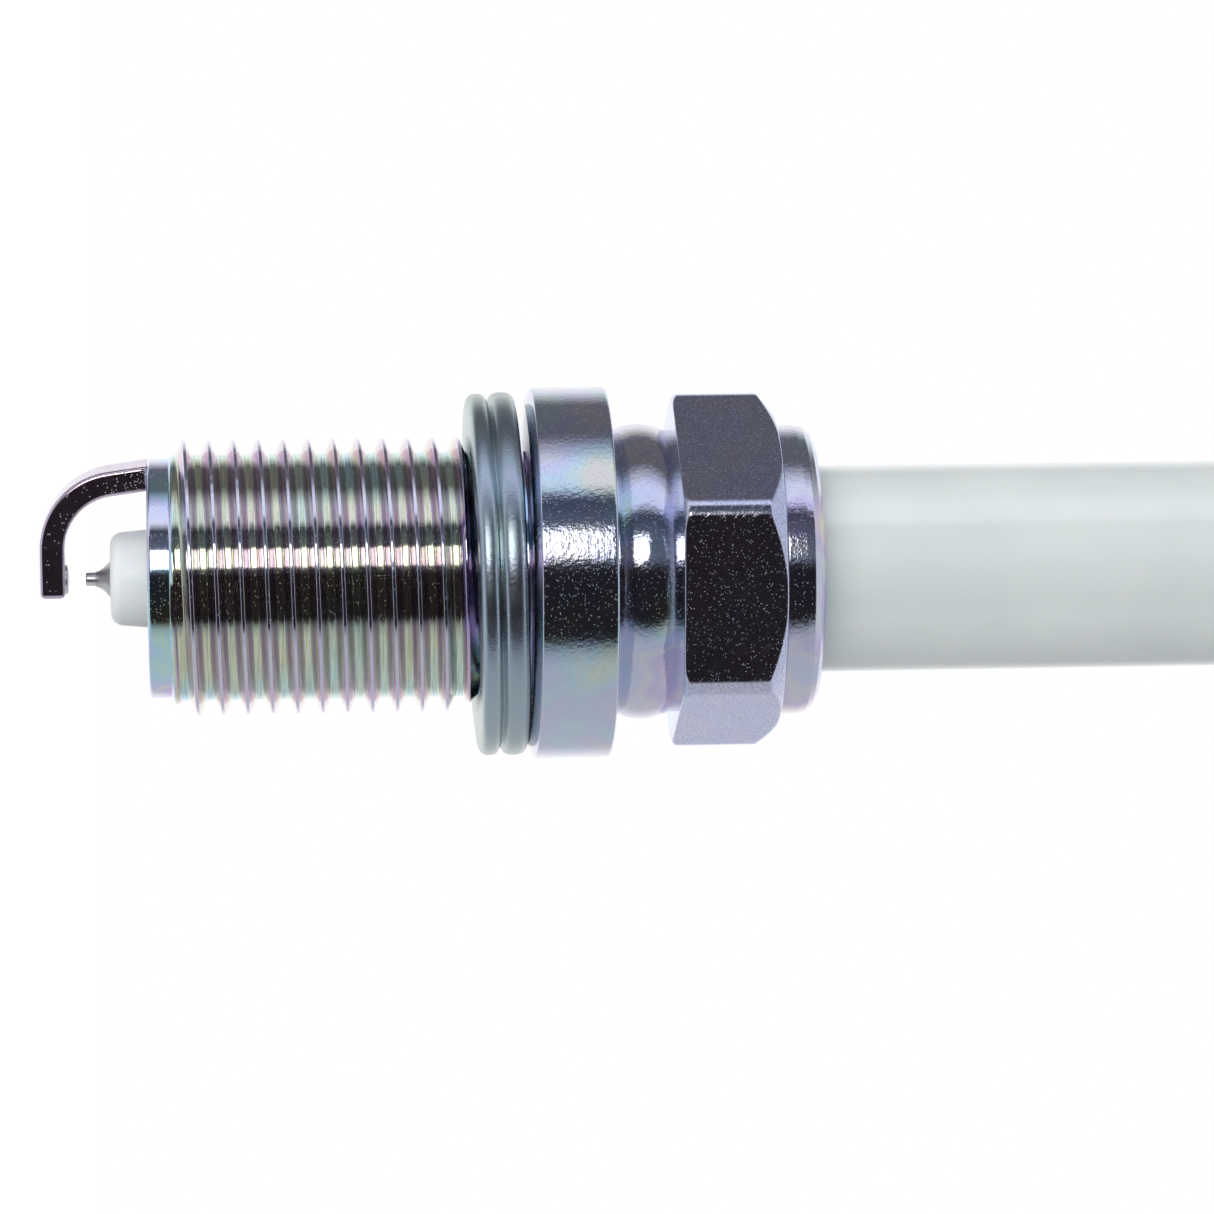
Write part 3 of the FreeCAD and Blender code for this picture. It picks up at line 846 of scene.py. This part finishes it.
def handling_group():
    """Faint smears, and hair scratches that lie slanted across the piece."""
    outputs = {"Smears": "Float", "Scratches": "Float"}
    hairs_per_mm = 4.0
    bends_per_mm = 0.16
    w, given, result = group("handling_marks", {"Smears per mm": 0.5}, outputs)
    spot = w.place()[0]
    smears = w.noise(spot, given["Smears per mm"], 4.0, 0.6)
    across = w.math("MULTIPLY", w.dot(spot, (0.7, 0.1, 0.7)), hairs_per_mm)
    along = w.add("ShaderNodeSeparateXYZ", {0: w.stretched(spot, bends_per_mm)}).outputs
    hair = w.noise(w.join(across, along[1], along[2]), 1.0, 1.0, 0.4)
    close = w.math("ABSOLUTE", w.math("SUBTRACT", hair, 0.5))
    w.tree.links.new(w.remap(smears, 0.35, 0.7), result["Smears"])
    w.tree.links.new(w.remap(close, 0.012, 0.002), result["Scratches"])
    return w.tree


groups = {
    "turning_lines": turning_lines_group(),
    "plating_grain": grain_group(),
    "oxide_film": oxide_film_group(),
    "handling_marks": handling_group(),
}


def material(name):
    """New material with its wiring and its Principled shader."""
    made = bpy.data.materials.new(name)
    made.use_nodes = True
    shader = made.node_tree.nodes["Principled BSDF"]
    return made, Wiring(made.node_tree), shader


def spaced(values):
    return {key.replace("_", " "): value for key, value in values.items()}


def use(w, name, **values):
    """One of the node groups placed in a material, its inputs given by name with _ for a space."""
    return w.add("ShaderNodeGroup", spaced(values), node_tree=groups[name]).outputs


def set_shader(w, shader, **values):
    """Gives the Principled shader its values and links, named with _ for a space."""
    w.fill(shader, spaced(values))


def facing(w):
    """How far the surface turns away from the eye, where the film's colour shifts."""
    return w.add("ShaderNodeLayerWeight", {"Blend": 0.5}).outputs["Facing"]


def bump(w, height, strength, distance_mm, before=None):
    """Normal of a height in the unit range, over a bump's depth in millimetres."""
    sockets = {"Height": height, "Strength": strength, "Distance": distance_mm * MM}
    if before is not None:
        sockets["Normal"] = before
    return w.add("ShaderNodeBump", sockets).outputs[0]


# ---------------------------------------------------------------- materials

# Tones of the surfaces, each with an opacity of 1
# painted shade: this darker tone is laid on the thread's flanks, the sides of the groove
flank_painted_shade = (0.78, 0.78, 0.80, 1)
crest_silver = (0.74, 0.74, 0.78, 1)
mottle_dark = (0.72, 0.70, 0.72, 1)
mottle_light = (1.0, 0.98, 1.0, 1)
pit_silver = (0.95, 0.95, 0.96, 1)
sheet_grey = (0.38, 0.41, 0.45, 1)
nickel_brown = (0.62, 0.52, 0.56, 1)
speck_silver = (0.9, 0.88, 0.9, 1)
glaze_cool = (0.72, 0.78, 0.78, 1)
glaze_warm = (0.78, 0.84, 0.83, 1)
# partly the bare ceramic's own paler tone, partly painted light that brightens the nose in the shade of
# the shell
bare_cool_and_painted_light = (0.84, 0.88, 0.90, 1)
bare_warm_and_painted_light = (0.88, 0.92, 0.94, 1)
paper_dark = (0.80, 0.80, 0.81, 1)
paper_light = (0.84, 0.84, 0.85, 1)


def plated_thread_material():
    """Zinc plated steel with a rainbow film: olive roots, purple flanks, silver crests."""
    made, w, shader = material("plated_shell")
    _, z, radius, _ = w.place()
    thread_start_z = end_z + pilot_length
    above_start = w.remap(z, thread_start_z, thread_start_z + 0.3)
    in_thread = w.remap(z, -neck_length + 0.2, -neck_length - 0.2)
    in_thread = w.math("MULTIPLY", in_thread, above_start)
    upset = w.remap(z, -1.0, 0.5)               # the collar and all above it, formed and not cut
    root = w.remap(radius, thread_root_r + 0.12, thread_root_r + 0.02)
    crest = w.remap(radius, thread_r - 0.14, thread_r - 0.04)
    flank = w.math("MULTIPLY", in_thread, w.math("SUBTRACT", w.math("SUBTRACT", 1.0, root), crest))
    thread_depth = w.math("SUBTRACT", w.math("MULTIPLY", root, -0.35), w.math("MULTIPLY", crest, -0.12))
    thread_depth = w.math("ADD", thread_depth, 0.90)
    plain_depth = w.remap(z, collar_height - 0.1, collar_height + 0.4, 0.25, 0.12)
    lines = use(w, "turning_lines", Lines_per_mm=16.0)["Height"]
    film = use(
        w, "oxide_film", Depth=w.between(in_thread, plain_depth, thread_depth),
        Drift=w.between(in_thread, 1.7, 0.42), Patch_per_mm=0.24, Facing=facing(w), Slant=-0.27,
    )["Color"]
    # painted shade: the flanks' film colour is darkened as if the groove's sides lay in shade
    film = w.mix(flank, film, flank_painted_shade, "MULTIPLY")
    film = w.mix(w.math("MULTIPLY", upset, 0.8), film, film, "MULTIPLY")
    # painted highlight: the turning lines lighten and darken the roots' colour in fine streaks, standing
    # in for their glints
    painted_glint_streaks = w.remap(lines, 0.38, 0.62, 0.74, 1.04)
    painted_glint_streaks = w.join(painted_glint_streaks, painted_glint_streaks, painted_glint_streaks)
    film = w.mix(w.math("MULTIPLY", root, in_thread), film, painted_glint_streaks, "MULTIPLY")
    grain = use(w, "plating_grain", Grains_per_mm=4.5, Pits_per_mm=13.0, Pit_share=0.16)
    marks = use(w, "handling_marks", Smears_per_mm=0.6)
    colour = w.mix(w.math("MULTIPLY", crest, 0.6), film, crest_silver)
    rough = w.raised(w.raised(0.06, marks["Smears"], 0.04), grain["Pits"], 0.15)
    peel = bump(w, grain["Height"], w.raised(0.08, upset, 0.8), 0.012)
    pits = bump(w, grain["Pits"], 0.6, 0.014, peel)
    normal = bump(w, lines, 0.4, 0.006, pits)
    set_shader(w, shader, Base_Color=colour, Metallic=1.0, Roughness=rough, Normal=normal)
    return made


def plated_hexagon_material():
    """The same plating over the pressed steel of the hexagon: speckled, with almost no colour."""
    made, w, shader = material("plated_hexagon")
    film = use(
        w, "oxide_film", Depth=0.02, Drift=0.25, Patch_per_mm=0.3, Facing=facing(w), Slant=0.18,
    )["Color"]
    grain = use(w, "plating_grain", Grains_per_mm=9.0, Pits_per_mm=15.0, Pit_share=0.12)
    marks = use(w, "handling_marks", Smears_per_mm=0.9)
    mottled = w.mix(w.remap(grain["Height"], 0.35, 0.65), mottle_dark, mottle_light)
    film = w.mix(1.0, film, mottled, "MULTIPLY")
    colour = w.mix(w.math("MULTIPLY", grain["Pits"], 0.6), film, pit_silver)
    rough = w.raised(0.1, marks["Smears"], 0.06)
    peel = bump(w, grain["Height"], 0.5, 0.007)
    pits = bump(w, grain["Pits"], 1.0, 0.02, peel)
    normal = bump(w, marks["Scratches"], 0.25, -0.01, pits)
    set_shader(w, shader, Base_Color=colour, Metallic=1.0, Roughness=rough, Normal=normal)
    return made


def gasket_material():
    """Satin plated sheet steel with a fine skin of orange peel."""
    made, w, shader = material("gasket_steel")
    film = use(
        w, "oxide_film", Depth=0.22, Drift=0.4, Patch_per_mm=0.3, Facing=facing(w), Slant=0.2,
    )["Color"]
    grain = use(w, "plating_grain", Grains_per_mm=6.5, Pits_per_mm=8.0, Pit_share=0.04)
    marks = use(w, "handling_marks", Smears_per_mm=0.8)
    colour = w.mix(0.7, film, sheet_grey)
    rough = w.raised(0.26, marks["Smears"], 0.06)
    normal = bump(w, grain["Height"], 0.7, 0.016)
    set_shader(w, shader, Base_Color=colour, Metallic=1.0, Roughness=rough, Normal=normal)
    return made


def electrode_material():
    """Dark nickel alloy bar, its rolled skin with bright specks that crowd towards the weld."""
    made, w, shader = material("electrode_nickel")
    film = use(
        w, "oxide_film", Depth=0.72, Drift=0.3, Patch_per_mm=0.35, Facing=facing(w), Slant=0.2,
    )["Color"]
    share = w.remap(w.place()[1], strap_low.z + 1.0, end_z, 0.09, 0.5)
    grain = use(w, "plating_grain", Grains_per_mm=8.0, Pits_per_mm=9.0, Pit_share=share)
    marks = use(w, "handling_marks", Smears_per_mm=0.8)
    colour = w.mix(0.5, film, nickel_brown)
    colour = w.mix(w.math("MULTIPLY", grain["Pits"], 0.6), colour, speck_silver)
    rough = w.raised(0.12, marks["Smears"], 0.06)
    peel = bump(w, grain["Height"], 0.4, 0.01)
    normal = bump(w, grain["Pits"], 1.0, 0.04, peel)
    set_shader(w, shader, Base_Color=colour, Metallic=1.0, Roughness=rough, Normal=normal)
    return made


def bright_metal_material(name, tone, polish, lines_per_mm):
    """Turned or ground bright metal with its own tone. Its roughness starts at polish."""
    made, w, shader = material(name)
    grain = use(w, "plating_grain", Grains_per_mm=9.0, Pits_per_mm=9.0, Pit_share=0.05)
    lines = use(w, "turning_lines", Lines_per_mm=lines_per_mm)["Height"]
    marks = use(w, "handling_marks", Smears_per_mm=0.9)
    smeared = tuple(0.78 * channel for channel in tone)
    colour = w.mix(marks["Smears"], (*tone, 1), (*smeared, 1))
    rough = w.raised(polish, marks["Smears"], 0.08)
    peel = bump(w, grain["Height"], 0.3, 0.01)
    normal = bump(w, lines, 0.4, 0.01, peel)
    set_shader(w, shader, Base_Color=colour, Metallic=1.0, Roughness=rough, Normal=normal)
    return made


def ceramic_material():
    """Alumina with a clear glaze on the head and a bare, softer nose, its paler tone partly painted
    light.
    """
    made, w, shader = material("glazed_ceramic")
    spot, z, _, _ = w.place()
    glazed = w.remap(z, lip_top_z - 1.0, lip_top_z + 0.2)
    cloud = w.noise(spot, 0.13)
    fine = w.noise(spot, 14.0, 3.0, 0.6)
    ripple = w.noise(spot, 0.9)
    tone = w.mix(w.remap(cloud, 0.3, 0.7), glaze_cool, glaze_warm)
    # the nose's colour: partly its own bare tone, partly painted light against the shell's shade
    bare = w.mix(w.remap(fine, 0.3, 0.7), bare_cool_and_painted_light, bare_warm_and_painted_light)
    skin = bump(w, fine, 0.12, 0.004)
    set_shader(
        w, shader, Base_Color=w.mix(glazed, bare, tone), Roughness=w.between(glazed, 0.42, 0.16),
        Normal=bump(w, ripple, 0.12, 0.03, skin), IOR=1.6,
        Coat_Weight=w.math("MULTIPLY", glazed, 0.6), Coat_Roughness=0.05,
        Subsurface_Weight=0.2, Subsurface_Scale=0.8 * MM,
    )
    return made


def powder_material(name, light, dark, grains, roughness, metallic=0.0):
    """Pressed, fired or fused filling with a mottled tone."""
    made, w, shader = material(name)
    grain = use(w, "plating_grain", Grains_per_mm=grains, Pits_per_mm=grains, Pit_share=0.2)
    colour = w.mix(w.remap(grain["Height"], 0.3, 0.7), (*dark, 1), (*light, 1))
    rough = w.raised(roughness, grain["Pits"], 0.15)
    normal = bump(w, grain["Height"], 0.4, 0.02)
    set_shader(w, shader, Base_Color=colour, Metallic=metallic, Roughness=rough, Normal=normal)
    return made


def floor_material():
    """Pale paper floor that merges with the backdrop, and that only the camera sees."""
    made, w, shader = material("pale_paper")
    fibre = w.noise(w.place()[0], 2.0, 3.0, 0.6)
    colour = w.mix(fibre, paper_dark, paper_light)
    seen = w.add("ShaderNodeLightPath").outputs["Is Camera Ray"]
    set_shader(
        w, shader, Base_Color=colour, Roughness=0.8,
        Emission_Color=(1, 1, 1, 1), Emission_Strength=0.7,
    )
    clear = w.add("ShaderNodeBsdfTransparent").outputs[0]
    shown = w.add("ShaderNodeMixShader", {0: seen, 1: clear, 2: shader.outputs[0]}).outputs[0]
    w.tree.links.new(shown, made.node_tree.nodes["Material Output"].inputs["Surface"])
    return made


# ---------------------------------------------------------------- building the plug

nickel = electrode_material()
precious = bright_metal_material("precious_metal", (0.90, 0.89, 0.88), 0.3, 20.0)
turned_nickel = bright_metal_material("turned_nickel", (0.74, 0.73, 0.72), 0.36, 20.0)
stud_steel = bright_metal_material("stud_steel", (0.62, 0.62, 0.60), 0.25, 12.0)
terminal_plating = bright_metal_material("terminal_plating", (0.70, 0.69, 0.66), 0.16, 12.0)

make_piece(
    "shell_body", shell_body_mesh(), "plug", ["shell"], plated_thread_material())
make_piece(
    "shell_hexagon", hexagon_mesh(), "plug", ["shell"], plated_hexagon_material())
make_piece(
    "ceramic_insulator", insulator_mesh(), "plug", ["insulator"], ceramic_material())
make_piece(
    "ground_strap", strap_mesh(), "plug", ["ground_electrode"], nickel)
make_piece(
    "firing_pad", pad_mesh(), "plug", ["ground_electrode_pad"], precious)
make_piece(
    "centre_rod", centre_electrode_mesh(), "plug", ["centre_electrode"], turned_nickel)
make_piece(
    "firing_tip", centre_tip_mesh(), "plug", ["centre_electrode_tip"], precious)
make_piece(
    "stud", terminal_stud_mesh(), "plug", ["terminal_stud"], stud_steel)
make_piece(
    "folded_gasket", gasket_mesh(), "gasket", ["gasket"], gasket_material())
make_piece(
    "screw_terminal", terminal_nut_mesh(), "terminal_nut", ["terminal_nut"], terminal_plating)

glass = ((0.22, 0.23, 0.25), (0.12, 0.12, 0.14), 5.0, 0.25)
steel = ((0.55, 0.55, 0.54), (0.42, 0.42, 0.42), 5.0, 0.35, 1.0)
copper = ((0.85, 0.48, 0.32), (0.70, 0.36, 0.24), 6.0, 0.3, 1.0)
fired_carbon = ((0.18, 0.16, 0.15), (0.08, 0.07, 0.07), 4.0, 0.6)
talc = ((0.82, 0.82, 0.79), (0.70, 0.70, 0.67), 8.0, 0.8)
hidden_finishes = {
    "centre_electrode_core": powder_material("copper", *copper),
    "lower_glass_seal": powder_material("seal_glass", *glass),
    "upper_glass_seal": powder_material("seal_glass_upper", *glass),
    "resistor": powder_material("resistor_ceramic", *fired_carbon),
    "packing_washer": powder_material("washer_steel", *steel),
    "lower_wire_ring": powder_material("wire_steel", *steel),
    "upper_wire_ring": powder_material("wire_steel_upper", *steel),
    "talc_packing": powder_material("talc", *talc),
}
for node, finish in hidden_finishes.items():
    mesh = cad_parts[node].data
    mesh.materials.clear()
    mesh.materials.append(finish)


# ---------------------------------------------------------------- camera, floor and light

# The camera looks at the plug from the side, with the firing end on the left
view_turn = math.radians(10.7)
view_tilt = math.radians(4.24)
view_roll = math.radians(0.87)
view_distance = 268
view_centre = (4.19, -1.73)
view_lens = 156.7
floor_r = 120
floor_gap = 0.05

axis = Vector((0, 0, 1))
side = Vector((-math.sin(view_turn), -math.cos(view_turn), 0))
weld_up = Vector((-math.cos(view_turn), math.sin(view_turn), 0))


def make_camera():
    """Camera at its distance from the plug, tilted along the axis and rolled a little."""
    along = math.cos(view_tilt) * axis + math.sin(view_tilt) * side
    back = -math.sin(view_tilt) * axis + math.cos(view_tilt) * side
    right = math.cos(view_roll) * along - math.sin(view_roll) * weld_up
    up = math.sin(view_roll) * along + math.cos(view_roll) * weld_up
    place = (view_centre[0] * right + view_centre[1] * up + view_distance * back) * MM
    data = bpy.data.cameras.new("camera")
    data.sensor_width = 36
    data.lens = view_lens
    data.clip_start = 0.01
    data.clip_end = 20
    camera = bpy.data.objects.new("camera", data)
    camera.matrix_world = Matrix.Translation(place) @ Matrix((right, up, back)).transposed().to_4x4()
    bpy.context.scene.collection.objects.link(camera)
    bpy.context.scene.camera = camera


def make_floor():
    """Round floor just below the plug."""
    bm = bmesh.new()
    bmesh.ops.create_circle(bm, cap_ends=True, segments=96, radius=floor_r * MM)
    mesh = bpy.data.meshes.new("floor")
    bm.to_mesh(mesh)
    bm.free()
    floor = bpy.data.objects.new("floor", mesh)
    floor.location.z = cad_low.z - floor_gap * MM
    mesh.materials.append(floor_material())
    bpy.context.scene.collection.objects.link(floor)


def make_lamp(name, angle_deg, rise_deg, distance_mm, size_mm, brightness, tone, mirrored=True):
    """Softbox placed by its angle from the camera side towards the weld and its rise along the axis.

    One that is not mirrored lights the plug but leaves no reflection on it.
    """
    a = math.radians(angle_deg)
    e = math.radians(rise_deg)
    direction = math.cos(e) * (math.cos(a) * side + math.sin(a) * weld_up) + math.sin(e) * axis
    data = bpy.data.lights.new(name, "AREA")
    data.shape = "RECTANGLE"
    data.size = size_mm[0] * MM
    data.size_y = size_mm[1] * MM
    data.energy = brightness * math.pi * data.size * data.size_y
    data.color = tone
    lamp = bpy.data.objects.new(name, data)
    lamp.location = direction * distance_mm * MM
    lamp.rotation_mode = "QUATERNION"
    across = axis.cross(direction).normalized()
    turned = Matrix((across, direction.cross(across), direction)).transposed()
    lamp.rotation_quaternion = turned.to_quaternion()
    lamp.visible_camera = False
    lamp.visible_glossy = mirrored
    bpy.context.scene.collection.objects.link(lamp)


def make_studio():
    """Studio round the plug: white behind it, dark on the camera's side, a softbox on the weld's side.

    The wall's tone follows the angle from the camera side towards the weld. The camera itself sees
    plain white, and dull surfaces are lit by an even light that is brighter from the weld's side.
    """
    world = bpy.data.worlds.new("studio")
    bpy.context.scene.world = world
    world.use_nodes = True
    w = Wiring(world.node_tree)
    out = world.node_tree.nodes["Background"]
    spot = w.add("ShaderNodeTexCoord").outputs["Generated"]
    angle = w.math("ARCTAN2", w.dot(spot, weld_up), w.dot(spot, side))
    turn = w.math("ADD", w.math("DIVIDE", angle, TAU), 0.5)
    backdrop = (1.10, 1.10, 1.10)
    softbox = (0.85, 0.90, 1.08)
    wall = [
        (-180, backdrop),
        (-158, (0.95, 0.95, 0.98)),
        (-138, (0.60, 0.60, 0.63)),
        (-60, (0.50, 0.53, 0.57)),
        (-50, (0.34, 0.38, 0.44)),
        (-43, (0.020, 0.017, 0.021)),
        (2, (0.018, 0.015, 0.019)),
        (9, (0.14, 0.16, 0.20)),
        (34, (0.10, 0.12, 0.16)),
        (46, (0.05, 0.06, 0.09)),
        (54, softbox),
        (70, softbox),
        (92, (0.14, 0.14, 0.16)),
        (128, (0.16, 0.155, 0.17)),
        (150, (1.00, 1.00, 1.00)),
        (180, backdrop),
    ]
    tone = w.ramp(turn, [(0.5 + degrees / 360, colour) for degrees, colour in wall])
    steep = w.remap(w.math("ABSOLUTE", w.dot(spot, axis)), 0.62, 0.92)
    tone = w.mix(steep, tone, (0.66, 0.70, 0.76, 1))
    rays = w.add("ShaderNodeLightPath").outputs
    soft = w.remap(w.dot(spot, weld_up), -1.0, 1.0, 0.46, 0.86)
    tone = w.mix(rays["Is Diffuse Ray"], tone, w.join(soft, soft, soft))
    w.tree.links.new(w.mix(rays["Is Camera Ray"], tone, (1, 1, 1, 1)), out.inputs["Color"])
    bpy.context.scene.view_settings.view_transform = "Standard"


make_camera()
make_floor()
make_lamp("key_lamp", 17, -12, 420, (125, 235), 4, (1.0, 0.99, 0.97))
make_lamp("nose_lamp", 10, -35, 90, (40, 40), 2.4, (0.96, 0.98, 1.0), mirrored=False)
make_studio()
